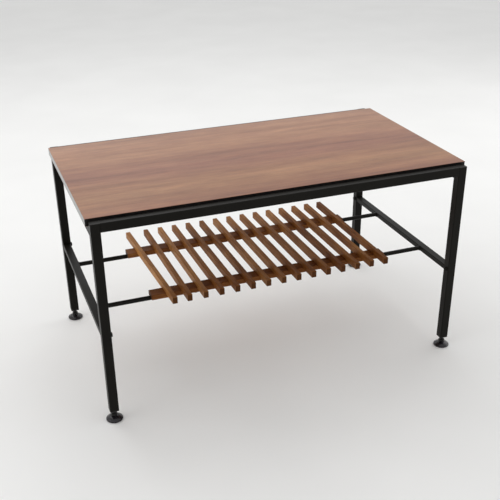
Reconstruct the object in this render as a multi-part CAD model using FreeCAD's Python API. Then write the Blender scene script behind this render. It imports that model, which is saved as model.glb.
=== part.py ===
import FreeCAD, Part
import math
import os

# Coffee table with a slatted magazine rack. Millimetres, +Z up, +X to the right
# seen from the front, +Y to the back. The origin is on the floor under the
# middle of the frame.

# Frame: square tube, welded and painted

tube_width = 20.0
tube_corner_radius = 2.0
tube_wall = 1.5
frame_length = 844.0
frame_depth = 492.0
rail_top_height = 468.2
leg_bottom_height = 25.0

# Top: veneered board with black edge bands, let in between the long rails

top_overhang = 6.0
top_side_clearance = 0.5
top_stand_proud = 5.2
core_thickness = 15.0
veneer_thickness = 0.6
edge_band_thickness = 1.0

# Lower side stretchers and the two rods between them

stretcher_width = 18.0
stretcher_height = 12.0
stretcher_corner_radius = 1.5
stretcher_wall = 1.5
stretcher_top_height = 218.7
stretcher_inset = 0.6
tongue_length = 16.0
tongue_root_length = 20.0
tongue_slot_clearance = 0.2
rod_diameter = 10.4
rod_spacing = 225.8
weld_leg = 2.0
weld_tip = 0.3
bolt_diameter = 6.0
bolt_reach = 13.0
bolt_head_diameter = 10.5
bolt_head_height = 3.5
bolt_head_ease = 0.8

# Magazine rack: slats on edge, let into two battens that lie on the rods

slat_count = 15
slat_width = 10.8
slat_height = 15.9
slat_housing_depth = 3.5
slat_length = 374.0
slat_pitch = 37.3
slat_edge_ease = 0.7
slat_front_chamfer = 1.4
slat_back_chamfer = 1.0
slat_skew_degrees = 0.65
first_slat_skew_degrees = 2.5
slat_pivot_to_front = 70.0
slats_offset_to_right = 12.2
slats_offset_to_back = 11.8
batten_length = 580.0
batten_width = 30.0
batten_thickness = 12.0
batten_edge_ease = 0.8
batten_offset_to_right = 5.0
batten_groove_clearance = 0.05
batten_rise_over_rod_axis = 0.3

# Wire pins from below through the battens into the slats, one at each crossing

pin_width = 1.4
pin_depth_in_slat = 8.0
pin_offset_from_rod = 9.5
pin_sink = 1.5

# Saddle clips round the rods, screwed to the battens' undersides

clip_width = 12.0
clip_thickness = 1.0
clip_bend_clearance = 0.1
clip_ear_reach = 13.2
clip_distance_from_middle = 186.5
clip_screw_offset = 9.6
clip_screw_diameter = 3.0
clip_screw_length = 9.0
clip_screw_head_diameter = 5.4
clip_screw_head_height = 1.8

# Screws from below through the end rails into the board

top_screw_diameter = 4.0
top_screw_depth_in_core = 11.0
top_screw_head_diameter = 7.8
top_screw_head_height = 2.4
top_screw_hole_clearance = 0.25
top_screw_spacing = 170.0

# Levelling feet: plug in the leg, stem that turns by a button in the disc, domed disc

plug_flange_thickness = 1.5
plug_flange_chamfer = 1.2
plug_length = 22.0
stem_diameter = 8.0
stem_bore_clearance = 0.05
stem_top_height = 45.0
neck_diameter = 5.4
button_diameter = 8.8
button_height = 4.4
button_bottom_height = 1.6
button_clearance = 0.08
collar_across_flats = 13.0
collar_bottom_height = 11.5
collar_height = 5.0
disc_diameter = 37.0
disc_foot_diameter = 34.0
disc_edge_ease = 1.0
disc_rim_height = 4.0
disc_hub_diameter = 15.0
disc_hub_height = 9.0
disc_dome_middle_diameter = 27.0
disc_dome_middle_height = 6.9

# Flats that stand for round on parts too small or too many for true arcs

shank_flat_count = 8
head_flat_count = 16
bend_flat_count = 16
disc_flat_count = 24

# Levels and faces that follow from the sizes above

half = 0.5
board_thickness = core_thickness + veneer_thickness * 2
top_height = rail_top_height + top_stand_proud
board_bottom_height = top_height - board_thickness
leg_outer_x = frame_length * half
leg_outer_y = frame_depth * half
leg_centre_x = leg_outer_x - tube_width * half
leg_centre_y = leg_outer_y - tube_width * half
rail_inner_y = leg_outer_y - tube_width
leg_inner_x = leg_outer_x - tube_width
board_length = frame_length + top_overhang * 2
board_depth = (rail_inner_y - top_side_clearance) * 2
plug_width = tube_width - tube_wall * 2
leg_tube_bottom = leg_bottom_height + plug_flange_thickness
stretcher_centre_x = leg_outer_x - stretcher_inset - stretcher_width * half
stretcher_inner_x = stretcher_centre_x - stretcher_width * half
rod_height = stretcher_top_height - stretcher_height * half
rod_radius = rod_diameter * half
rod_y = rod_spacing * half
batten_bottom = rod_height + batten_rise_over_rod_axis
batten_top = batten_bottom + batten_thickness
slat_bottom = batten_top - slat_housing_depth
slat_top = slat_bottom + slat_height
wood_under_slat = batten_thickness - slat_housing_depth
slat_front_y = slats_offset_to_back - slat_length * half
slat_back_y = slats_offset_to_back + slat_length * half
disc_radius = disc_diameter * half

X = FreeCAD.Vector(1, 0, 0)
Y = FreeCAD.Vector(0, 1, 0)
Z = FreeCAD.Vector(0, 0, 1)
right_angle = 90.0
full_turn = 360.0
tolerance = 0.001


def at(x, y, z):
    return FreeCAD.Vector(x, y, z)


def save(name, shape):
    if not shape.isValid():
        raise RuntimeError(name + " is not a valid shape")
    shape.exportStep("parts/" + name + ".step")


def save_group(name, shapes):
    save(name, Part.makeCompound(shapes))


def box_centred(length_x, length_y, height, bottom_centre):
    corner = bottom_centre - at(length_x * half, length_y * half, 0)
    return Part.makeBox(length_x, length_y, height, corner)


def upright_edges(shape):
    return [edge for edge in shape.Edges if abs(edge.tangentAt(edge.FirstParameter).z) > half]


def rounded_bar(width, height, radius, length):
    """A bar of rounded section along Z: width along X, height along Y."""
    bar = box_centred(width, height, length, at(0, 0, 0))
    return bar.makeFillet(radius, upright_edges(bar))


def rounded_tube(width, height, radius, wall, length, cap):
    """A hollow bar along Z, closed at its far end by a cap of the given thickness."""
    outside = rounded_bar(width, height, radius, length)
    inside = box_centred(width - wall * 2, height - wall * 2, length - cap, at(0, 0, 0))
    return outside.cut(inside)


def ring(flats, radius, height):
    """The corners of a level ring with its flats at the radius, the first one again at its end."""
    reach = radius / math.cos(math.pi / flats)
    turns = [math.tau * (step + half) / flats for step in range(flats)]
    corners = [at(reach * math.cos(turn), reach * math.sin(turn), height) for turn in turns]
    return corners + corners[:1]


def turned_in_flats(flats, profile):
    """A turned solid in flat faces, from (radius, height) steps along its outline from bottom to top."""
    rings = [ring(flats, radius, height) for radius, height in profile]
    faces = [Part.Face(Part.makePolygon(rings[0])), Part.Face(Part.makePolygon(rings[-1]))]
    for low, high in zip(rings, rings[1:]):
        for step in range(flats):
            corners = [low[step], low[step + 1], high[step + 1], high[step], low[step]]
            faces.append(Part.Face(Part.makePolygon(corners)))
    shell = Part.makeShell(faces)
    shell.sewShape()
    return Part.makeSolid(shell)


def shank(diameter, length, bottom_centre):
    """A screw's plain shank, or the hole for it."""
    bar = turned_in_flats(shank_flat_count, [(diameter * half, 0), (diameter * half, length)])
    bar.translate(bottom_centre)
    return bar


def lay_along_x(shape, start):
    shape.rotate(at(0, 0, 0), Y, right_angle)
    shape.translate(start)
    return shape


def lay_along_y(shape, start):
    shape.rotate(at(0, 0, 0), X, -right_angle)
    shape.translate(start)
    return shape


# Top


def build_top():
    core_length = board_length - edge_band_thickness * 2
    core_depth = board_depth - edge_band_thickness * 2
    core_bottom = board_bottom_height + veneer_thickness
    core = box_centred(core_length, core_depth, core_thickness, at(0, 0, core_bottom))
    lower = box_centred(board_length, board_depth, veneer_thickness, at(0, 0, board_bottom_height))
    upper_bottom = core_bottom + core_thickness
    upper = box_centred(board_length, board_depth, veneer_thickness, at(0, 0, upper_bottom))
    holes = [shank(top_screw_diameter, top_screw_depth_in_core, at(x, y, board_bottom_height))
             for x, y in top_screw_places()]
    save("top_core", core.cut(holes))
    save("top_veneer", upper)
    save("underside_veneer", lower.cut(holes))
    band_y = (board_depth - edge_band_thickness) * half
    band_x = (board_length - edge_band_thickness) * half
    for name, side in (("front", -1), ("back", 1)):
        middle = at(0, side * band_y, core_bottom)
        save("edge_band_" + name, box_centred(board_length, edge_band_thickness, core_thickness, middle))
    for name, side in (("left", -1), ("right", 1)):
        middle = at(side * band_x, 0, core_bottom)
        save("edge_band_" + name, box_centred(edge_band_thickness, core_depth, core_thickness, middle))


def top_screw_places():
    return [(side * leg_centre_x, step * top_screw_spacing) for side in (-1, 1) for step in (-1, 0, 1)]


def build_top_screws():
    rail_bottom = board_bottom_height - tube_width
    head_radius = top_screw_head_diameter * half
    screws = []
    for x, y in top_screw_places():
        head = turned_in_flats(head_flat_count, [(head_radius, -top_screw_head_height), (head_radius, 0)])
        head.translate(at(x, y, rail_bottom))
        body = shank(top_screw_diameter, tube_width + top_screw_depth_in_core, at(x, y, rail_bottom))
        screws.append(body.fuse(head).removeSplitter())
    save_group("top_screws", screws)


# Frame


def build_long_rails():
    length = leg_inner_x * 2
    for name, side in (("front_rail", -1), ("back_rail", 1)):
        rail = rounded_tube(tube_width, tube_width, tube_corner_radius, tube_wall, length, 0)
        start = at(-leg_inner_x, side * leg_centre_y, rail_top_height - tube_width * half)
        save(name, lay_along_x(rail, start))


def build_end_rails():
    hole_diameter = top_screw_diameter + top_screw_hole_clearance * 2
    bottom = board_bottom_height - tube_width
    holes = [shank(hole_diameter, tube_width, at(x, y, bottom)) for x, y in top_screw_places()]
    for name, side in (("left_end_rail", -1), ("right_end_rail", 1)):
        rail = rounded_tube(tube_width, tube_width, tube_corner_radius, tube_wall, rail_inner_y * 2, 0)
        start = at(side * leg_centre_x, -rail_inner_y, board_bottom_height - tube_width * half)
        save(name, lay_along_y(rail, start).cut(holes))


def leg_places():
    return [("front_left", -1, -1), ("front_right", 1, -1), ("back_left", -1, 1), ("back_right", 1, 1)]


def build_legs():
    length = rail_top_height - leg_tube_bottom
    for name, side, end in leg_places():
        leg = rounded_tube(tube_width, tube_width, tube_corner_radius, tube_wall, length, tube_wall)
        leg.translate(at(side * leg_centre_x, end * leg_centre_y, leg_tube_bottom))
        slot_width, slot_height = tongue_section(tongue_slot_clearance)
        slot_bottom = at(side * stretcher_centre_x, end * rail_inner_y, rod_height - slot_height * half)
        slot = box_centred(slot_width, tube_width, slot_height, slot_bottom)
        save("leg_" + name, leg.cut([slot, stretcher_bolt(side, end)]))


def tongue_section(clearance):
    """Width and height of the tongue that fills the stretcher's hollow, or of its slot in the leg."""
    gap = (clearance - stretcher_wall) * 2
    return stretcher_width + gap, stretcher_height + gap


def build_stretchers():
    """A flat tube with a solid tongue welded into each end; the tongues enter the legs."""
    width, height = tongue_section(0)
    length = tongue_length + tongue_root_length
    for name, side in (("left_stretcher", -1), ("right_stretcher", 1)):
        bar = rounded_tube(stretcher_width, stretcher_height, stretcher_corner_radius, stretcher_wall,
                           rail_inner_y * 2, 0)
        bar = lay_along_y(bar, at(side * stretcher_centre_x, -rail_inner_y, rod_height))
        for end in (-1, 1):
            middle_y = end * (rail_inner_y + tongue_length - length * half)
            bottom = at(side * stretcher_centre_x, middle_y, rod_height - height * half)
            bar = bar.fuse(box_centred(width, length, height, bottom))
        save(name, bar.cut([stretcher_bolt(x, y) for _, x, y in leg_places() if x == side]).removeSplitter())


def stretcher_bolt(side, end):
    """The bolt through a leg's inner face into the stretcher's tongue; its head shows."""
    radius = bolt_head_diameter * half
    outline = [(radius - bolt_head_ease, -bolt_head_height),
               (radius, bolt_head_ease - bolt_head_height),
               (radius, 0)]
    head = turned_in_flats(head_flat_count, outline)
    bolt = head.fuse(shank(bolt_diameter, bolt_reach, at(0, 0, 0))).removeSplitter()
    bolt.rotate(at(0, 0, 0), Y, right_angle * side)
    bolt.translate(at(side * leg_inner_x, end * leg_centre_y, rod_height))
    return bolt


def build_stretcher_bolts():
    save_group("stretcher_bolts", [stretcher_bolt(side, end) for _, side, end in leg_places()])


def build_rods():
    for name, side in (("front_rack_rod", -1), ("back_rack_rod", 1)):
        start = at(-stretcher_inner_x, side * rod_y, rod_height)
        save(name, Part.makeCylinder(rod_radius, stretcher_inner_x * 2, start, X))


def build_rod_welds():
    """A fillet bead round each end of each rod, no higher than the stretcher it stands on."""
    bead = turned_in_flats(bend_flat_count, [(rod_radius + weld_leg, 0), (rod_radius + weld_tip, weld_leg)])
    hole = turned_in_flats(bend_flat_count, [(rod_radius, 0), (rod_radius, weld_leg)])
    bead = lay_along_x(bead.cut(hole), at(0, 0, 0))
    level = box_centred(weld_leg * 2, stretcher_width, stretcher_height, at(0, 0, -stretcher_height * half))
    bead = bead.common(level)
    beads = []
    for side in (-1, 1):
        for end in (-1, 1):
            copy = bead.copy()
            if side > 0:
                copy.rotate(at(0, 0, 0), Z, full_turn * half)
            copy.translate(at(side * stretcher_inner_x, end * rod_y, rod_height))
            beads.append(copy)
    save_group("rod_welds", beads)


# Magazine rack


def slat_middles():
    first = slats_offset_to_right - slat_pitch * (slat_count - 1) * half
    return [first + slat_pitch * number for number in range(slat_count)]


def slat_skew(number):
    """All slats are a little askew, the first one more than the others."""
    return first_slat_skew_degrees if number == 0 else slat_skew_degrees


def slat_x_at(number, y):
    """Where the slat's centre line crosses the given y."""
    return slat_middles()[number] - math.tan(math.radians(slat_skew(number))) * (y + slat_pivot_to_front)


def slat_blank(number):
    """The slat square to the table, with sharp edges."""
    middle = at(slat_middles()[number], slats_offset_to_back, slat_bottom)
    return box_centred(slat_width, slat_length, slat_height, middle)


def skewed(number, slat):
    slat.rotate(at(slat_middles()[number], -slat_pivot_to_front, 0), Z, slat_skew(number))
    return slat


def build_slats():
    for number in range(slat_count):
        slat = slat_blank(number)
        back = [edge for edge in slat.Edges if on_slat_end(edge, slat_back_y) and level_at(edge, slat_top)]
        slat = slat.makeChamfer(slat_back_chamfer, back)
        front = [edge for edge in slat.Edges if on_slat_end(edge, slat_front_y) and level_at(edge, slat_top)]
        slat = slat.makeChamfer(slat_front_chamfer, front)
        upper = [edge for edge in slat.Edges if level_at(edge, slat_top)]
        slat = slat.makeChamfer(slat_edge_ease, [edge for edge in upper if edge.Length > slat_length * half])
        holes = [pin_solid(number, side) for side in (-1, 1)]
        save("slat_%02d" % (number + 1), skewed(number, slat).cut(holes))


def level_at(edge, height):
    return all(abs(corner.Z - height) < tolerance for corner in edge.Vertexes)


def on_slat_end(edge, y):
    return all(abs(corner.Y - y) < tolerance for corner in edge.Vertexes)


def pin_place(number, side):
    y = side * (rod_y + pin_offset_from_rod)
    return slat_x_at(number, y), y


def pin_solid(number, side):
    x, y = pin_place(number, side)
    length = wood_under_slat + pin_depth_in_slat - pin_sink
    return box_centred(pin_width, pin_width, length, at(x, y, batten_bottom + pin_sink))


def pin_hole(number, side):
    """The pin's own space, open below where the pin is sunk."""
    x, y = pin_place(number, side)
    return box_centred(pin_width, pin_width, wood_under_slat, at(x, y, batten_bottom))


def build_pins():
    save_group("slat_pins", [pin_solid(number, side) for number in range(slat_count) for side in (-1, 1)])


def build_battens():
    for name, side in (("front_batten", -1), ("back_batten", 1)):
        middle = at(batten_offset_to_right, side * rod_y, batten_bottom)
        batten = box_centred(batten_length, batten_width, batten_thickness, middle)
        long_edges = [edge for edge in batten.Edges if edge.Length > batten_length * half]
        batten = batten.makeChamfer(batten_edge_ease, long_edges)
        groove_start = at(batten_offset_to_right - batten_length, side * rod_y, rod_height)
        groove_radius = rod_radius + batten_groove_clearance
        tools = [Part.makeCylinder(groove_radius, batten_length * 2, groove_start, X)]
        tools += [skewed(number, slat_blank(number)) for number in range(slat_count)]
        tools += [pin_hole(number, side) for number in range(slat_count)]
        tools += [clip_screw(x, y) for x, y in clip_screw_places() if y * side > 0]
        save(name, batten.cut(tools))


# Saddle clips


def clip_places():
    return [(name, batten_offset_to_right + side * clip_distance_from_middle, end * rod_y)
            for name, side, end in leg_places()]


def clip_screw_places():
    return [(x, y + way * clip_screw_offset) for _, x, y in clip_places() for way in (-1, 1)]


def clip_screw(x, y):
    radius = clip_screw_head_diameter * half
    head = turned_in_flats(head_flat_count, [(radius, -clip_screw_head_height), (radius, 0)])
    screw = head.fuse(shank(clip_screw_diameter, clip_screw_length, at(0, 0, 0))).removeSplitter()
    screw.translate(at(x, y, batten_bottom - clip_thickness))
    return screw


def build_clips():
    inner_radius = rod_radius + clip_bend_clearance
    outer_radius = inner_radius + clip_thickness
    for name, x, y in clip_places():
        start = at(x - clip_width * half, y, rod_height)
        strap = clip_bend(outer_radius, start)
        ears_bottom = at(x, y, batten_bottom - clip_thickness)
        ears = box_centred(clip_width, clip_ear_reach * 2, clip_thickness, ears_bottom)
        below_bottom = at(x, y, batten_bottom - outer_radius * 2)
        below = box_centred(clip_width, outer_radius * 4, outer_radius * 2, below_bottom)
        strap = strap.common(below).fuse(ears)
        strap = strap.cut(clip_bend(inner_radius, start))
        strap = strap.cut([clip_screw(screw_x, screw_y) for screw_x, screw_y in clip_screw_places()])
        save("rack_clip_" + name, strap.removeSplitter())


def clip_bend(radius, start):
    """A bar along X, as long as a clip is wide."""
    return lay_along_x(turned_in_flats(bend_flat_count, [(radius, 0), (radius, clip_width)]), start)


def build_clip_screws():
    save_group("clip_screws", [clip_screw(x, y) for x, y in clip_screw_places()])


# Levelling feet


def build_plugs():
    bore_radius = stem_diameter * half + stem_bore_clearance
    bore_length = plug_length + plug_flange_thickness
    for name, side, end in leg_places():
        body = box_centred(plug_width, plug_width, plug_length, at(0, 0, leg_tube_bottom))
        flange = box_centred(tube_width, tube_width, plug_flange_thickness, at(0, 0, leg_bottom_height))
        flange = flange.makeChamfer(plug_flange_chamfer, upright_edges(flange))
        bore = Part.makeCylinder(bore_radius, bore_length, at(0, 0, leg_bottom_height))
        plug = body.fuse(flange).cut(bore)
        plug.translate(at(side * leg_centre_x, end * leg_centre_y, 0))
        save("leg_plug_" + name, plug)


def build_stems():
    collar_bottom = at(0, 0, collar_bottom_height)
    neck = Part.makeCylinder(neck_diameter * half, collar_bottom_height - button_bottom_height,
                             at(0, 0, button_bottom_height))
    screw = Part.makeCylinder(stem_diameter * half, stem_top_height - collar_bottom_height, collar_bottom)
    stem = button(0).fuse([neck, screw, hex_collar()]).removeSplitter()
    for name, side, end in leg_places():
        copy = stem.copy()
        copy.translate(at(side * leg_centre_x, end * leg_centre_y, 0))
        save("foot_stem_" + name, copy)


def button(clearance):
    """The button at the stem's foot, or with a clearance the space for it in the disc."""
    radius = button_diameter * half + clearance
    bottom = button_bottom_height - clearance
    top = button_bottom_height + button_height + clearance
    return turned_in_flats(disc_flat_count, [(radius, bottom), (radius, top)])


def hex_collar():
    sides = 6
    radius = collar_across_flats * half
    top = collar_bottom_height + collar_height
    return turned_in_flats(sides, [(radius, collar_bottom_height), (radius, top)])


def build_discs():
    """Flat sole, eased edge, low rim, domed top up to the hub, and a pocket for the button."""
    sole_radius = disc_foot_diameter * half
    profile = [(sole_radius, 0),
               (disc_radius, disc_radius - sole_radius),
               (disc_radius, disc_rim_height - disc_edge_ease),
               (disc_radius - disc_edge_ease, disc_rim_height),
               (disc_dome_middle_diameter * half, disc_dome_middle_height),
               (disc_hub_diameter * half, disc_hub_height)]
    disc = turned_in_flats(disc_flat_count, profile)
    mouth_radius = neck_diameter * half + button_clearance
    mouth = Part.makeCylinder(mouth_radius, disc_hub_height, at(0, 0, button_bottom_height))
    disc = disc.cut(button(button_clearance)).cut(mouth)
    for name, side, end in leg_places():
        copy = disc.copy()
        copy.translate(at(side * leg_centre_x, end * leg_centre_y, 0))
        save("foot_disc_" + name, copy)


os.makedirs("parts", exist_ok=True)
build_top()
build_top_screws()
build_long_rails()
build_end_rails()
build_legs()
build_stretchers()
build_rods()
build_rod_welds()
build_stretcher_bolts()
build_slats()
build_battens()
build_pins()
build_clips()
build_clip_screws()
build_plugs()
build_stems()
build_discs()
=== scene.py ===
# %% [markdown]
# # A low table with a slatted shelf
#
# The real object is a black square-tube frame that carries a thin veneered
# top. Two rods run between the low side stretchers, and fifteen wooden slats
# lie across them on two battens. Each leg ends in a screw foot on a round
# disc. The measured solids come in as a fixed frame, with one object for each
# piece. They could be modelled again here, but their sizes are already right,
# so this lesson keeps them and adds finish, softened edges and small detail.

# %% Load the frame and measure it
import math

import bpy
from mathutils import Matrix, Vector


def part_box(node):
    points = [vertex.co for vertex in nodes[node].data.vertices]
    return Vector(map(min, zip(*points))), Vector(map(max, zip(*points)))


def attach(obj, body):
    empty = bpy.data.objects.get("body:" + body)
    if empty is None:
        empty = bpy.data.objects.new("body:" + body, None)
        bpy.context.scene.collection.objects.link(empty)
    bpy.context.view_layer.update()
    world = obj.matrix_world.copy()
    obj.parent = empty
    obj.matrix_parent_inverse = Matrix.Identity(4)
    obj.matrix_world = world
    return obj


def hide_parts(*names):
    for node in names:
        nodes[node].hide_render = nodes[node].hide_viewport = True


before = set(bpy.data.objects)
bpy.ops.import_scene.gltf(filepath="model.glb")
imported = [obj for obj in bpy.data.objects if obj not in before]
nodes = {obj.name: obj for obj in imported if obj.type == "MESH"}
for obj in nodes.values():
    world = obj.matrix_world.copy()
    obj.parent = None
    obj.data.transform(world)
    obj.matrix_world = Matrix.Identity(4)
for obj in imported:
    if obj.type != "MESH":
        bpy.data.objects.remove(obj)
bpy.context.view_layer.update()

print("Pieces in the frame:", len(nodes))

# %% [markdown]
# ## Camera
#
# The table is seen from the front left and from above. A camera can be aimed
# by a Track To constraint, but a constraint can't hold the small roll that a
# hand-held picture has. So the three axes of the camera are worked out from
# its turn, its tilt and its roll, and go straight into its matrix.

# %% Aim the camera
turn, tilt, roll = (math.radians(angle) for angle in (20.34, -28.11, -0.70))
ahead = Vector((math.sin(turn) * math.cos(tilt), math.cos(turn) * math.cos(tilt), math.sin(tilt)))
level = Vector((math.cos(turn), -math.sin(turn), 0))
above = level.cross(ahead)
camera_x = level * math.cos(roll) + above * math.sin(roll)
camera_y = above * math.cos(roll) - level * math.sin(roll)
eye = Vector((-0.6463, -1.7260, 1.1204))
axes = Matrix((camera_x, camera_y, -ahead)).transposed()
camera = bpy.data.objects.new("Camera", bpy.data.cameras.new("Camera"))
camera.matrix_world = Matrix.Translation(eye) @ axes.to_4x4()
camera.data.sensor_width = 36
camera.data.lens = 60.279
camera.data.shift_x = 0.001
camera.data.shift_y = 0.0672
bpy.context.scene.collection.objects.link(camera)
bpy.context.scene.camera = camera
bpy.context.scene.view_settings.view_transform = "Standard"
print("Camera height in mm:", round(1000 * eye.z))

# %% [markdown]
# ## Node helpers
#
# Every finish below is made of the same few steps: take a place on the
# object, stretch it along the grain or not, look up a noise there, and turn
# that number into a colour, a gloss or a height. Each step could be wired by
# hand in the shader editor. Short helpers keep the recipes readable.

# %% A material, a place and a noise
def start_finish(name):
    """A new material, its node tree and its Principled shader."""
    material = bpy.data.materials.new(name)
    material.use_nodes = True
    return material, material.node_tree, material.node_tree.nodes["Principled BSDF"]


def place(tree, scale=(1, 1, 1), offset=(0, 0, 0)):
    """A point on the object in metres, stretched by a scale for each axis."""
    where = tree.nodes.new("ShaderNodeTexCoord")
    mapping = tree.nodes.new("ShaderNodeMapping")
    mapping.inputs["Scale"].default_value = scale
    mapping.inputs["Location"].default_value = offset
    tree.links.new(where.outputs["Object"], mapping.inputs["Vector"])
    return mapping.outputs["Vector"]


def cloud(tree, where, scale, detail=3, roughness=0.5, distortion=0):
    """A soft noise between 0 and 1."""
    noise = tree.nodes.new("ShaderNodeTexNoise")
    noise.inputs["Scale"].default_value = scale
    noise.inputs["Detail"].default_value = detail
    noise.inputs["Roughness"].default_value = roughness
    noise.inputs["Distortion"].default_value = distortion
    tree.links.new(where, noise.inputs["Vector"])
    return noise.outputs["Fac"]


print("Finishes on the bare frame:", len(bpy.data.materials))

# %% Numbers and colours
def spread(tree, value, low, high, to_low=0, to_high=1):
    """The value's part between low and high, mapped to a new range and kept in it."""
    ranged = tree.nodes.new("ShaderNodeMapRange")
    for socket, number in zip(("From Min", "From Max", "To Min", "To Max"), (low, high, to_low, to_high)):
        ranged.inputs[socket].default_value = number
    tree.links.new(value, ranged.inputs["Value"])
    return ranged.outputs["Result"]


def combine(tree, operation, first, second=0):
    """Two values, or a value and a number, through one Math node."""
    math_node = tree.nodes.new("ShaderNodeMath")
    math_node.operation = operation
    for socket, source in zip(math_node.inputs, (first, second)):
        if isinstance(source, (int, float)):
            socket.default_value = source
        else:
            tree.links.new(source, socket)
    return math_node.outputs["Value"]


def tones(tree, value, *stops):
    """A colour from a value, through (position, (red, green, blue)) stops."""
    ramp = tree.nodes.new("ShaderNodeValToRGB")
    elements = ramp.color_ramp.elements
    while len(elements) < len(stops):
        elements.new(0.5)
    for element, (position, colour) in zip(elements, stops):
        element.position = position
        element.color = (*colour, 1)
    tree.links.new(value, ramp.inputs["Fac"])
    return ramp.outputs["Color"]


helpers = (start_finish, place, cloud, spread, combine, tones)
print("Helpers:", ", ".join(helper.__name__ for helper in helpers))

# %% [markdown]
# ## Studio
#
# The object stands on a plain pale floor under soft light. A real studio
# hangs a large softbox behind the table and stands two smaller ones beside it,
# low enough to reach the shelf, and white walls bounce the rest. Three wide
# area lamps and an even world stand in for them. The camera and the gloss see
# a white room, while the world's own light is weaker, so that a colour renders
# about as it is written.

# %% Floor, world and lamps
def build_floor():
    mesh = bpy.data.meshes.new("Floor")
    reach = 12.0
    corners = [(-reach, -reach, 0), (reach, -reach, 0), (reach, reach, 0), (-reach, reach, 0)]
    mesh.from_pydata(corners, [], [(0, 1, 2, 3)])
    floor = bpy.data.objects.new("Floor", mesh)
    bpy.context.scene.collection.objects.link(floor)
    material, tree, shader = start_finish("Pale floor")
    tone = cloud(tree, place(tree), 3.0, 2)
    colour = tones(tree, tone, (0.3, (0.86, 0.86, 0.85)), (0.7, (0.89, 0.89, 0.88)))
    tree.links.new(colour, shader.inputs["Base Color"])
    shader.inputs["Roughness"].default_value = 0.7
    mesh.materials.append(material)


def light_world(level, white):
    world = bpy.data.worlds.new("Studio")
    world.use_nodes = True
    bpy.context.scene.world = world
    tree = world.node_tree
    background = tree.nodes["Background"]
    background.inputs["Color"].default_value = (1, 1, 1, 1)
    ray = tree.nodes.new("ShaderNodeLightPath")
    seen = combine(tree, "MAXIMUM", ray.outputs["Is Camera Ray"], ray.outputs["Is Glossy Ray"])
    seen = combine(tree, "MAXIMUM", seen, ray.outputs["Is Transmission Ray"])
    tree.links.new(spread(tree, seen, 0, 1, level, white), background.inputs["Strength"])


def hang_lamp(name, where, target, side, power):
    lamp = bpy.data.lights.new(name, "AREA")
    lamp.size = side
    lamp.energy = power
    hung = bpy.data.objects.new(name, lamp)
    hung.location = where
    hung.rotation_euler = (Vector(target) - Vector(where)).to_track_quat("-Z", "Y").to_euler()
    bpy.context.scene.collection.objects.link(hung)


build_floor()
light_world(0.72, 1.0)
hang_lamp("Softbox behind", (-0.4, 1.6, 2.6), (0, 0, 0.3), 2.4, 22)
hang_lamp("Softbox left", (-2.6, -0.2, 1.4), (0, 0, 0.2), 2.0, 14)
hang_lamp("Softbox right", (2.5, 0.5, 1.5), (0, 0, 0.2), 2.0, 14)

# %% [markdown]
# ## Veneer of the top
#
# The top is a thin sheet of brown hardwood veneer, with its grain along the
# table and a satin lacquer. Its look comes from figure of several sizes: wide
# zones of pink and golden brown, long soft streaks, fine grain with a faint
# mottle, and pores. A photograph of wood could be wrapped on it. Noise
# stretched along the grain costs nothing, never repeats and works from every
# side.

# %% Colour over colour, height and wear
def blend_colours(tree, factor, first, second, mode="MIX"):
    """The second colour laid over the first by a factor."""
    mix = tree.nodes.new("ShaderNodeMix")
    mix.data_type = "RGBA"
    mix.blend_type = mode
    for socket, source in zip((mix.inputs[0], mix.inputs[6], mix.inputs[7]), (factor, first, second)):
        if isinstance(source, (int, float)):
            socket.default_value = source
        elif isinstance(source, tuple):
            socket.default_value = (*source, 1)
        else:
            tree.links.new(source, socket)
    return mix.outputs[2]


def raise_surface(tree, shader, height, distance):
    """A bump of a real depth in metres under the shader."""
    bump = tree.nodes.new("ShaderNodeBump")
    bump.inputs["Distance"].default_value = distance
    tree.links.new(height, bump.inputs["Height"])
    tree.links.new(bump.outputs["Normal"], shader.inputs["Normal"])


def wear(material, *names):
    """The material on each named piece."""
    for name in names:
        piece = nodes[name]
        piece.data.materials.clear()
        piece.data.materials.append(material)


veneer_low, veneer_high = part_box("top_veneer")
print("Veneered face in mm:", [round(1000 * side) for side in (veneer_high - veneer_low)[:2]])

# %% Lacquered veneer
def across_top(tree, wobble):
    """0 at the front edge of the top and 1 at the back, bent a little along the grain."""
    split = tree.nodes.new("ShaderNodeSeparateXYZ")
    tree.links.new(place(tree), split.inputs["Vector"])
    bend = spread(tree, cloud(tree, place(tree, (1.6, 5, 5)), 1.0, 3), 0.3, 0.7, -wobble, wobble)
    return combine(tree, "ADD", spread(tree, split.outputs["Y"], veneer_low.y, veneer_high.y), bend)


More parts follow.
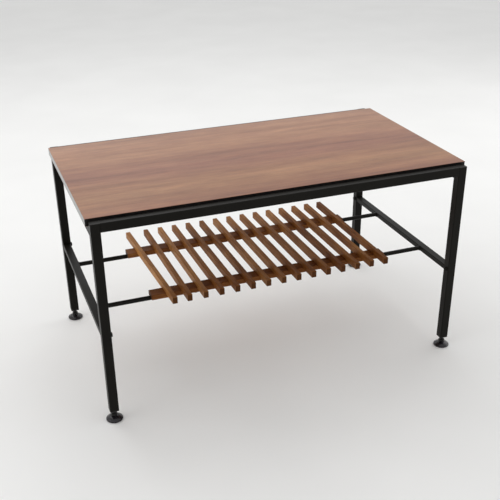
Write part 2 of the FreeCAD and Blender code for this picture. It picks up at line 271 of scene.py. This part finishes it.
def veneer_finish(name, *bands):
    material, tree, shader = start_finish(name)
    colour = tones(tree, across_top(tree, 0.035), *bands)
    streaks = cloud(tree, place(tree, (2.6, 30, 30)), 1.0, 4, 0.55, 0.3)
    grain = cloud(tree, place(tree, (11, 190, 190)), 1.0, 3, 0.6, 0.1)
    mottle = cloud(tree, place(tree, (22, 60, 60), (3, 1, 0)), 1.0, 3, 0.6)
    streak_tone = tones(
        tree, streaks, (0.32, (0.79, 0.77, 0.78)), (0.50, (1, 1, 1)), (0.68, (1.18, 1.20, 1.19))
    )
    colour = blend_colours(tree, 0.95, colour, streak_tone, "MULTIPLY")
    grain_tone = tones(tree, grain, (0.32, (0.82, 0.80, 0.78)), (0.68, (1.14, 1.15, 1.16)))
    colour = blend_colours(tree, 0.8, colour, grain_tone, "MULTIPLY")
    mottle_tone = tones(tree, mottle, (0.30, (0.90, 0.87, 0.90)), (0.70, (1.08, 1.12, 1.08)))
    colour = blend_colours(tree, 0.8, colour, mottle_tone, "MULTIPLY")
    pores = spread(tree, cloud(tree, place(tree, (60, 1500, 1500)), 1.0, 1), 0.60, 0.72)
    pore_colour = tuple(0.5 * part for part in bands[0][1])
    colour = blend_colours(tree, combine(tree, "MULTIPLY", pores, 0.30), colour, pore_colour)
    tree.links.new(colour, shader.inputs["Base Color"])
    tree.links.new(spread(tree, grain, 0.3, 0.7, 0.36, 0.46), shader.inputs["Roughness"])
    shader.inputs["Specular IOR Level"].default_value = 0.22
    height = combine(tree, "SUBTRACT", combine(tree, "MULTIPLY", grain, 0.3), pores)
    raise_surface(tree, shader, height, 0.00006)
    return material


wear(veneer_finish(
    "Lacquered veneer",
    (0.00, (0.275, 0.122, 0.074)), (0.10, (0.300, 0.144, 0.083)), (0.20, (0.334, 0.170, 0.095)),
    (0.30, (0.305, 0.150, 0.087)), (0.46, (0.276, 0.127, 0.086)), (0.56, (0.298, 0.142, 0.093)),
    (0.70, (0.352, 0.183, 0.113)), (0.85, (0.354, 0.185, 0.118)), (1.00, (0.347, 0.190, 0.127)),
), "top_veneer")
wear(veneer_finish(
    "Backing veneer", (0.0, (0.25, 0.14, 0.080)), (0.5, (0.29, 0.17, 0.100)), (1.0, (0.26, 0.15, 0.085)),
), "underside_veneer")
print("Veneers:", [material.name for material in bpy.data.materials if "veneer" in material.name])

# %% [markdown]
# ## Board edges and core
#
# The board between the veneers is dense particle board. Its four edges are
# closed with a thin glossy black strip, so the core shows only in the screw
# holes. Gloss on black is seen mostly from the side: looked at squarely the
# strip stays dark, and along its face it mirrors the floor. A grey specular
# tint does that, because it dims only the square view. Faint waves along the
# strip and a slightly uneven gloss keep it from looking like glass.

# %% Edge strips and particle board
def named(*starts):
    """The frame's pieces whose names start so."""
    return [name for name in nodes if name.startswith(starts)]


def edge_strip_finish():
    material, tree, shader = start_finish("Black edge strip")
    waves = cloud(tree, place(tree, (40, 40, 8)), 1.0, 2)
    rub = cloud(tree, place(tree), 60, 4, 0.6)
    colour = tones(tree, rub, (0.35, (0.009, 0.008, 0.008)), (0.7, (0.016, 0.014, 0.014)))
    tree.links.new(colour, shader.inputs["Base Color"])
    tree.links.new(spread(tree, rub, 0.3, 0.7, 0.04, 0.09), shader.inputs["Roughness"])
    shader.inputs["Specular IOR Level"].default_value = 0.6
    shader.inputs["Specular Tint"].default_value = (0.22, 0.22, 0.22, 1)
    raise_surface(tree, shader, waves, 0.00012)
    return material


def core_finish():
    material, tree, shader = start_finish("Particle board")
    chips = cloud(tree, place(tree), 420, 4, 0.7)
    colour = tones(tree, chips, (0.35, (0.16, 0.10, 0.055)), (0.65, (0.42, 0.30, 0.18)))
    tree.links.new(colour, shader.inputs["Base Color"])
    tree.links.new(spread(tree, chips, 0.3, 0.7, 0.85, 0.95), shader.inputs["Roughness"])
    raise_surface(tree, shader, chips, 0.0003)
    return material


wear(edge_strip_finish(), *named("edge_band_"))
wear(core_finish(), "top_core")
print("Edge strips:", len(named("edge_band_")))

# %% [markdown]
# ## Black paint on the steel
#
# Rails, legs, stretchers and rods have one coat of satin black paint. Sprayed
# paint is never quite flat: it has a fine orange peel and drifts a little in
# gloss. Its sharp edges carry a painted highlight, a lighter grey in patches
# where light would catch them. A bevel node finds those edges by itself, which
# saves painting a mask by hand.

# %% Satin black paint
def sharp_edge_mask(tree, radius):
    """1 on sharp edges and 0 on flat faces, from how far a rounded normal turns away."""
    rounded = tree.nodes.new("ShaderNodeBevel")
    rounded.samples = 6
    rounded.inputs["Radius"].default_value = radius
    face = tree.nodes.new("ShaderNodeNewGeometry")
    agree = tree.nodes.new("ShaderNodeVectorMath")
    agree.operation = "DOT_PRODUCT"
    tree.links.new(rounded.outputs["Normal"], agree.inputs[0])
    tree.links.new(face.outputs["Normal"], agree.inputs[1])
    return spread(tree, agree.outputs["Value"], 0.995, 0.90)


def paint_finish():
    material, tree, shader = start_finish("Satin black paint")
    drift = cloud(tree, place(tree), 9, 3, 0.6)
    peel = cloud(tree, place(tree), 700, 2)
    patches = spread(tree, cloud(tree, place(tree), 45, 4, 0.7), 0.40, 0.62)
    # painted highlight: sharp edges, in patches, are blended towards a lighter grey
    edges = combine(tree, "MULTIPLY", sharp_edge_mask(tree, 0.0012), patches)
    colour = tones(tree, drift, (0.3, (0.0040, 0.0034, 0.0024)), (0.7, (0.0075, 0.0066, 0.0048)))
    colour = blend_colours(tree, combine(tree, "MULTIPLY", edges, 0.6), colour, (0.040, 0.038, 0.035))
    tree.links.new(colour, shader.inputs["Base Color"])
    tree.links.new(spread(tree, drift, 0.3, 0.7, 0.34, 0.46), shader.inputs["Roughness"])
    shader.inputs["Specular IOR Level"].default_value = 0.11
    raise_surface(tree, shader, peel, 0.00008)
    return material


black_paint = paint_finish()
rails = ("front_rail", "back_rail", "left_end_rail", "right_end_rail")
stretchers = ("left_stretcher", "right_stretcher")
rods = ("front_rack_rod", "back_rack_rod")
wear(black_paint, *rails, *stretchers, *rods, *named("leg_front", "leg_back"))
print("Painted pieces:", sum(o.data.materials[0] == black_paint for o in nodes.values()))

# %% [markdown]
# ## Timber of the shelf
#
# Slats and battens are solid brown hardwood with a thin oil finish. Each slat
# was cut from another place in the plank, so no two match. The grain runs
# along each piece: front to back in the slats, side to side in the battens.
# Instead of one material for each slat, the slat's own place across the shelf
# picks its tone, through a White Noise node that changes once per slat. A
# number added to that place chooses one draw of tones out of many; the draw is
# picked so that each slat's tone also follows how much light reaches it, which
# makes this tone partly the wood's own and partly painted light and shade. The
# front ends, which lie in shade under the top, are blended towards the darkest
# tone as painted shade. The end grain drinks more oil than the sides, so it is
# blended towards a darker tone too.

# %% Oiled timber
def timber_finish(name, stretch, ends, dark, middle, light, by_slat=None):
    """Timber with its grain along one axis, which is the small one in stretch and is named in ends.

    Where the tone changes with each slat, by_slat holds their spacing, an offset and a draw of tones.
    """
    material, tree, shader = start_finish(name)
    zones = cloud(tree, place(tree), 7.5, 4, 0.6, 0.4)
    grain = cloud(tree, place(tree, stretch), 270, 3, 0.6)
    fine = combine(tree, "MULTIPLY", grain, 0.4)
    figure = combine(tree, "ADD", combine(tree, "MULTIPLY", zones, 0.6), fine)
    if by_slat:
        spacing, offset, draw = by_slat
        across = tree.nodes.new("ShaderNodeSeparateXYZ")
        tree.links.new(place(tree, offset=offset), across.inputs["Vector"])
        pick = tree.nodes.new("ShaderNodeTexWhiteNoise")
        pick.noise_dimensions = "1D"
        number = combine(tree, "FLOOR", combine(tree, "DIVIDE", across.outputs["X"], spacing))
        tree.links.new(combine(tree, "ADD", number, draw), pick.inputs["W"])
        # per-slat tone, partly the wood's own and partly painted light and shade chosen through the draw
        figure = combine(tree, "ADD", figure, spread(tree, pick.outputs["Value"], 0, 1, -0.07, 0.18))
    colour = tones(tree, figure, (0.34, dark), (0.50, middle), (0.70, light))
    pores = spread(tree, cloud(tree, place(tree, stretch), 1200, 1), 0.58, 0.70)
    colour = blend_colours(tree, combine(tree, "MULTIPLY", pores, 0.45), colour, dark)
    if by_slat:
        # painted shade: the front ends, shaded by the top, are blended towards the darkest tone
        painted_front_shade = spread(tree, combine(tree, "MULTIPLY", across.outputs["Y"], -1), 0.09, 0.18, 0, 0.7)
        colour = blend_colours(tree, painted_front_shade, colour, dark)
    normal = tree.nodes.new("ShaderNodeNewGeometry")
    split = tree.nodes.new("ShaderNodeSeparateXYZ")
    tree.links.new(normal.outputs["True Normal"], split.inputs["Vector"])
    end_face = spread(tree, combine(tree, "ABSOLUTE", split.outputs[ends]), 0.70, 0.95, 0, 0.85)
    colour = blend_colours(tree, end_face, colour, tuple(part * 0.45 for part in dark))
    tree.links.new(colour, shader.inputs["Base Color"])
    tree.links.new(spread(tree, figure, 0.3, 0.7, 0.58, 0.44), shader.inputs["Roughness"])
    shader.inputs["Specular IOR Level"].default_value = 0.10
    height = combine(tree, "SUBTRACT", combine(tree, "MULTIPLY", grain, 0.5), pores)
    raise_surface(tree, shader, height, 0.00012)
    return material


def middle_of(node):
    low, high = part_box(node)
    return (low + high) / 2


second_slat = middle_of("slat_02").x
slat_spacing = (middle_of("slat_15").x - second_slat) / (15 - 2)
slat_timber = timber_finish(
    "Oiled slat timber", (1, 0.04, 1), "Y",
    (0.130, 0.041, 0.008), (0.260, 0.098, 0.019), (0.440, 0.202, 0.056),
    (slat_spacing, (slat_spacing / 2 - second_slat, 0, 0), 3516),
)
batten_timber = timber_finish(
    "Oiled batten timber", (0.04, 1, 1), "X",
    (0.090, 0.027, 0.006), (0.185, 0.064, 0.014), (0.330, 0.140, 0.038),
)
wear(slat_timber, *named("slat_0", "slat_1"))
wear(batten_timber, "front_batten", "back_batten")
print("Slats:", len(named("slat_0", "slat_1")), "every", round(1000 * slat_spacing, 1), "mm")

# %% [markdown]
# ## Metal and plastic of the small parts
#
# The screws and slat pins are plated steel that has dulled, and the saddle
# clips are blackened. The feet are black too: a steel stem in a moulded disc,
# with a plastic plug in the leg. They are small, but a foot seen close up
# shows at once whether it is metal or plastic, so each has its own gloss,
# grain and fine scratches.

# %% Small-part finishes
def metal_finish(name, dark, light, rough):
    material, tree, shader = start_finish(name)
    stain = cloud(tree, place(tree), 260, 4, 0.65)
    scratches = cloud(tree, place(tree, (300, 3000, 1200)), 1.0, 2)
    tree.links.new(tones(tree, stain, (0.34, dark), (0.62, light)), shader.inputs["Base Color"])
    shader.inputs["Metallic"].default_value = 1.0
    tree.links.new(spread(tree, stain, 0.3, 0.7, *rough), shader.inputs["Roughness"])
    raise_surface(tree, shader, scratches, 0.00003)
    return material


def plastic_finish(name, dark, light, rough):
    material, tree, shader = start_finish(name)
    scuffs = cloud(tree, place(tree), 180, 5, 0.7)
    tree.links.new(tones(tree, scuffs, (0.35, dark), (0.68, light)), shader.inputs["Base Color"])
    tree.links.new(spread(tree, scuffs, 0.3, 0.7, *rough), shader.inputs["Roughness"])
    shader.inputs["Specular IOR Level"].default_value = 0.35
    raise_surface(tree, shader, cloud(tree, place(tree), 1400, 2), 0.00003)
    return material


screw_steel = metal_finish("Dulled screw steel", (0.26, 0.25, 0.22), (0.46, 0.45, 0.40), (0.42, 0.30))
clip_steel = metal_finish("Blackened clip steel", (0.030, 0.029, 0.028), (0.070, 0.068, 0.064), (0.50, 0.38))
stem_steel = metal_finish("Blackened stem steel", (0.018, 0.017, 0.017), (0.045, 0.043, 0.042), (0.40, 0.28))
plug_plastic = plastic_finish(
    "Black plug plastic", (0.008, 0.008, 0.008), (0.018, 0.017, 0.017), (0.42, 0.55)
)
disc_plastic = plastic_finish("Black disc plastic", (0.007, 0.006, 0.008), (0.016, 0.014, 0.017), (0.16, 0.3))
wear(screw_steel, "slat_pins")
wear(clip_steel, *named("rack_clip_"))
wear(plug_plastic, *named("leg_plug_"))
print("Finishes so far:", len(bpy.data.materials))

# %% [markdown]
# ## Turned pieces
#
# Feet, screws, bolts and weld beads are all round about one line. Blender's
# Spin tool or a Screw modifier turns a profile, but neither can make a hexagon
# collar or a cross recess in the same piece. So a turned piece here is a stack
# of rings, and the radius of a ring may change with the angle. A number makes
# a circle, and a small function makes a hexagon, a cross or a screw thread.

# %% A piece from a stack of rings
def turned_piece(name, rings, spots, material, steps=36, sharp=35):
    """One mesh with the same closed shape at each spot, where a spot is a matrix.

    A ring is a height and a radius, or a height and a function that gives the radius at an angle.
    """
    points, faces = [], []
    for spot in spots:
        start = len(points)
        for height, radius in rings:
            for step in range(steps):
                angle = math.tau * step / steps
                reach = radius(angle) if callable(radius) else radius
                points.append(spot @ Vector((reach * math.cos(angle), reach * math.sin(angle), height)))
        for ring in range(len(rings) - 1):
            low, high = start + ring * steps, start + (ring + 1) * steps
            for step in range(steps):
                beside = (step + 1) % steps
                faces.append((low + step, low + beside, high + beside, high + step))
        faces.append([start + step for step in reversed(range(steps))])
        faces.append([start + (len(rings) - 1) * steps + step for step in range(steps)])
    mesh = bpy.data.meshes.new(name)
    mesh.from_pydata(points, [], faces)
    mesh.shade_smooth()
    mesh.set_sharp_from_angle(angle=math.radians(sharp))
    mesh.materials.append(material)
    piece = bpy.data.objects.new(name, mesh)
    bpy.context.scene.collection.objects.link(piece)
    return piece


def hexagon(across_flats):
    """The radius of a hexagon at an angle."""
    return lambda angle: across_flats / 2 / math.cos((angle + math.pi / 6) % (math.pi / 3) - math.pi / 6)


def cross(reach, half_width):
    """The radius of a cross with rounded arms at an angle."""
    def radius(angle):
        c, s = abs(math.cos(angle)) + 1e-6, abs(math.sin(angle)) + 1e-6
        return max(min(reach, half_width / s), min(reach, half_width / c))
    return radius


print("A 13 mm hexagon measures", round(2 * hexagon(13)(math.pi / 6), 1), "mm over its corners")

# %% [markdown]
# ## Screw feet
#
# Each foot is a disc that stands on the floor and a stem that screws up into
# the leg. The stem has a button held in the disc, a slim neck, a hexagon
# collar for a spanner, and an M8 thread. The solid has a plain shank, because
# a real thread would make it heavy. Here the thread is cut as rings whose
# radius follows a helix of 1.25 mm a turn. That is the same pitch as the
# joint has, so the thread seems to climb when the foot is turned.

# %% Threaded stems
mm = 0.001
pitch, crest, root = 1.25 * mm, 4.0 * mm, 3.35 * mm
thread_start, thread_end = 16.5 * mm, 45.0 * mm


def thread(height):
    """The radius of the thread at this height, with a tapered lead at its end."""
    def radius(angle):
        phase = (height / pitch - angle / math.tau) % 1
        ridge = root + (crest - root) * (1 - abs(2 * phase - 1))
        return min(ridge, crest - max(0, height - thread_end + 0.8 * mm))
    return radius


def capped(outline, limit):
    """The outline, kept inside a circle, as a nut's corners are cut by a cone."""
    return lambda angle: min(outline(angle), limit)


collar = hexagon(13 * mm)
cut_corners = capped(collar, 6.7 * mm)
stem_rings = [(1.6 * mm, 3.6 * mm), (2.4 * mm, 4.4 * mm), (5.2 * mm, 4.4 * mm), (6.0 * mm, 3.6 * mm)]
stem_rings += [(6.0 * mm, 2.7 * mm), (11.0 * mm, 2.7 * mm), (11.5 * mm, 3.0 * mm)]
stem_rings += [(11.5 * mm, cut_corners), (12.3 * mm, collar), (15.7 * mm, collar)]
stem_rings += [(thread_start, cut_corners), (thread_start, root)]
rows = round((thread_end - thread_start) / pitch * 6)
stem_rings += [(height, thread(height)) for height in
               (thread_start + (thread_end - thread_start) * (row + 1) / rows for row in range(rows))]

corners = ("front_left", "front_right", "back_left", "back_right")
for corner in corners:
    middle = middle_of("foot_stem_" + corner)
    spot = Matrix.Translation((middle.x, middle.y, 0))
    stem = turned_piece("threaded_stem_" + corner, stem_rings, [spot], stem_steel)
    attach(stem, "foot_" + corner + "_stem")
    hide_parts("foot_stem_" + corner)
print("Thread turns on each stem:", round((thread_end - thread_start) / pitch, 1))

# %% [markdown]
# ## Foot discs
#
# A disc is moulded in black plastic: flat below, with an eased edge, a low
# rim, and a dome that rises to the hub where the stem's button is held. Its
# profile is a short list of points. The dome is a curve, so its points come
# from a small formula in place of straight runs, and the light rolls over it.

# %% Domed discs
def dome(radius):
    """The height of the dome at a radius, both in mm."""
    out = radius - 7.5
    return 9.0 - 0.125 * out - 0.0375 * out ** 2


disc_rings = [(0, 16.6), (0.1, 17.0), (1.5, 18.5), (3.0, 18.5), (3.5, 18.35), (3.85, 18.0), (4.0, 17.5)]
disc_rings += [(dome(radius), radius) for radius in (16.5, 15.5, 14.5, 13.5, 12.0, 10.5, 9.0, 8.0)]
disc_rings += [(8.95, 7.7), (9.0, 7.3), (9.0, 3.2), (8.7, 2.78), (6.05, 2.78), (6.05, 3.68), (5.25, 4.48)]
disc_rings += [(2.35, 4.48), (1.55, 3.68)]
disc_rings = [(height * mm, radius * mm) for height, radius in disc_rings]
for corner in corners:
    middle = middle_of("foot_disc_" + corner)
    disc = turned_piece(
        "domed_disc_" + corner, disc_rings, [Matrix.Translation((middle.x, middle.y, 0))],
        disc_plastic, steps=64, sharp=40,
    )
    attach(disc, "foot_" + corner + "_disc")
    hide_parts("foot_disc_" + corner)
print("Disc diameter in mm:", max(radius for _, radius in disc_rings) / mm * 2)

# %% [markdown]
# ## Screws and bolts
#
# Cross-head screws hold the saddle clips under the battens and the top on its
# end rails, and one bolt with a hexagon socket goes through each leg into its
# stretcher. The solids have plain heads. A recess could be cut with a Boolean
# modifier, but two more rings with the recess's outline do it without one.

# %% Heads with recesses
def head_rings(head_radius, head_height, ease, shank_radius, shank_length, recess, deep):
    """Rings of a screw that points up, with its head below height 0 and a recess in it."""
    bottom = -head_height
    inner = [(bottom + deep, lambda angle: 0.8 * recess(angle)), (bottom, recess)]
    outer = [(bottom, head_radius - ease), (bottom + 0.3 * ease, head_radius - 0.3 * ease)]
    outer += [(bottom + ease, head_radius), (0, head_radius)]
    return inner + outer + [(0, shank_radius), (shank_length, shank_radius)]


print("A 10 mm head has", len(head_rings(5, 3, 1, 3, 8, hexagon(4), 2)), "rings")

# %% Clip screws
clip_screw_offset, clip_thickness = 9.6 * mm, 1.0 * mm
clip_middles = [middle_of("rack_clip_" + corner) for corner in corners]
ear_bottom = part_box("rack_clip_front_left")[1].z - clip_thickness
clip_rings = head_rings(2.7 * mm, 1.8 * mm, 0.6 * mm, 1.5 * mm, 9 * mm, cross(1.5 * mm, 0.35 * mm), 1.1 * mm)
clip_spots = [Matrix.Translation((middle.x, middle.y + way * clip_screw_offset, ear_bottom))
              for middle in clip_middles for way in (-1, 1)]
clip_screws = turned_piece(
    "cross_head_clip_screws", clip_rings, clip_spots, screw_steel, steps=48
)
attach(clip_screws, "table")
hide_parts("clip_screws")
print("Clip screws:", len(clip_spots))

# %% Screws of the top
top_screw_spacing = 170 * mm
rail_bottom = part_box("left_end_rail")[0].z
top_rings = head_rings(3.9 * mm, 2.4 * mm, 0.9 * mm, 2.0 * mm, 31 * mm, cross(2.2 * mm, 0.5 * mm), 1.6 * mm)
top_spots = [Matrix.Translation((middle_of(side + "_end_rail").x, step * top_screw_spacing, rail_bottom))
             for side in ("left", "right") for step in (-1, 0, 1)]
top_screws = turned_piece("cross_head_top_screws", top_rings, top_spots, screw_steel, steps=48)
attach(top_screws, "table")
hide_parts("top_screws")
print("Screws of the top:", len(top_spots))

# %% Bolts of the stretchers
half_leg = 10 * mm
bolt_height = middle_of("front_rack_rod").z
bolt_rings = head_rings(5.25 * mm, 3.5 * mm, 1.4 * mm, 3.0 * mm, 13 * mm, hexagon(4 * mm), 2.0 * mm)
bolt_spots = []
for corner in corners:
    leg = middle_of("leg_" + corner)
    side = math.copysign(1, leg.x)
    outward = Matrix.Rotation(side * math.pi / 2, 4, "Y")
    bolt_spots.append(Matrix.Translation((leg.x - side * half_leg, leg.y, bolt_height)) @ outward)
bolts = turned_piece("socket_head_bolts", bolt_rings, bolt_spots, black_paint, steps=48)
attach(bolts, "table")
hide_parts("stretcher_bolts")
print("Bolts:", len(bolt_spots))

# %% [markdown]
# ## Weld beads
#
# Each rod meets its stretcher in a fillet weld under the paint. A bead is laid
# in a row of small overlapping pools, which leaves ripples all the way round.
# The solid has a plain cone here, so a rippled ring takes its place: its
# radius goes up and down with the angle, and it is cut off level where the
# stretcher ends above and below.

# %% Rippled beads
rod_radius, bead, half_stretcher = 5.2 * mm, 2.0 * mm, 5.95 * mm


def pooled(share):
    """The bead's radius at a share of its height, rippled and kept between the stretcher's faces."""
    def radius(angle):
        ripple = 1 - 0.16 * abs(math.sin(9 * angle))
        return min(rod_radius + bead * share * ripple, half_stretcher / max(abs(math.cos(angle)), 0.01))
    return radius


bead_rings = [(0, pooled(1)), (0.35 * bead, pooled(0.86)), (0.7 * bead, pooled(0.55))]
bead_rings += [(0.92 * bead, pooled(0.22)), (bead, rod_radius)]
inner_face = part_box("left_stretcher")[1].x
bead_spots = []
for side in (-1, 1):
    for rod in rods:
        rod_middle = middle_of(rod)
        inward = Matrix.Rotation(-side * math.pi / 2, 4, "Y")
        bead_spots.append(Matrix.Translation((-side * inner_face, rod_middle.y, rod_middle.z)) @ inward)
beads = turned_piece(
    "rippled_weld_beads", bead_rings, bead_spots, black_paint, steps=72, sharp=50
)
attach(beads, "table")
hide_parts("rod_welds")
print("Beads:", len(bead_spots))

# %% [markdown]
# ## Softened edges
#
# No real edge is a perfect corner: paint rounds it, sandpaper eases it, and a
# bright line of light shows where it turns. The imported solids have hard
# corners and split points along them. Their meshes stay as measured, so the
# work goes to modifiers: Weld joins the split points, Bevel rolls the corners,
# and Weighted Normal keeps the flat faces flat. Steel and board get a quarter
# to a third of a millimetre, and the worn slats more than a millimetre.

# %% Roll the corners
def soften(width, *names, segments=2):
    for name in names:
        piece = nodes[name]
        joined = piece.modifiers.new("Join split points", "WELD")
        joined.merge_threshold = 0.000002
        rolled = piece.modifiers.new("Roll corners", "BEVEL")
        rolled.width = width
        rolled.segments = segments
        rolled.limit_method = "ANGLE"
        rolled.angle_limit = math.radians(32)
        rolled.use_clamp_overlap = True
        piece.modifiers.new("Flat faces", "WEIGHTED_NORMAL")


soften(0.25 * mm, "top_veneer", "underside_veneer", *named("edge_band_"))
soften(1.3 * mm, *named("slat_0", "slat_1"), segments=3)
soften(0.5 * mm, "front_batten", "back_batten")
soften(0.3 * mm, *named("leg_", "rack_clip_"), *rails, *stretchers)
print("Pieces with softened edges:", sum(bool(o.modifiers) for o in nodes.values()))
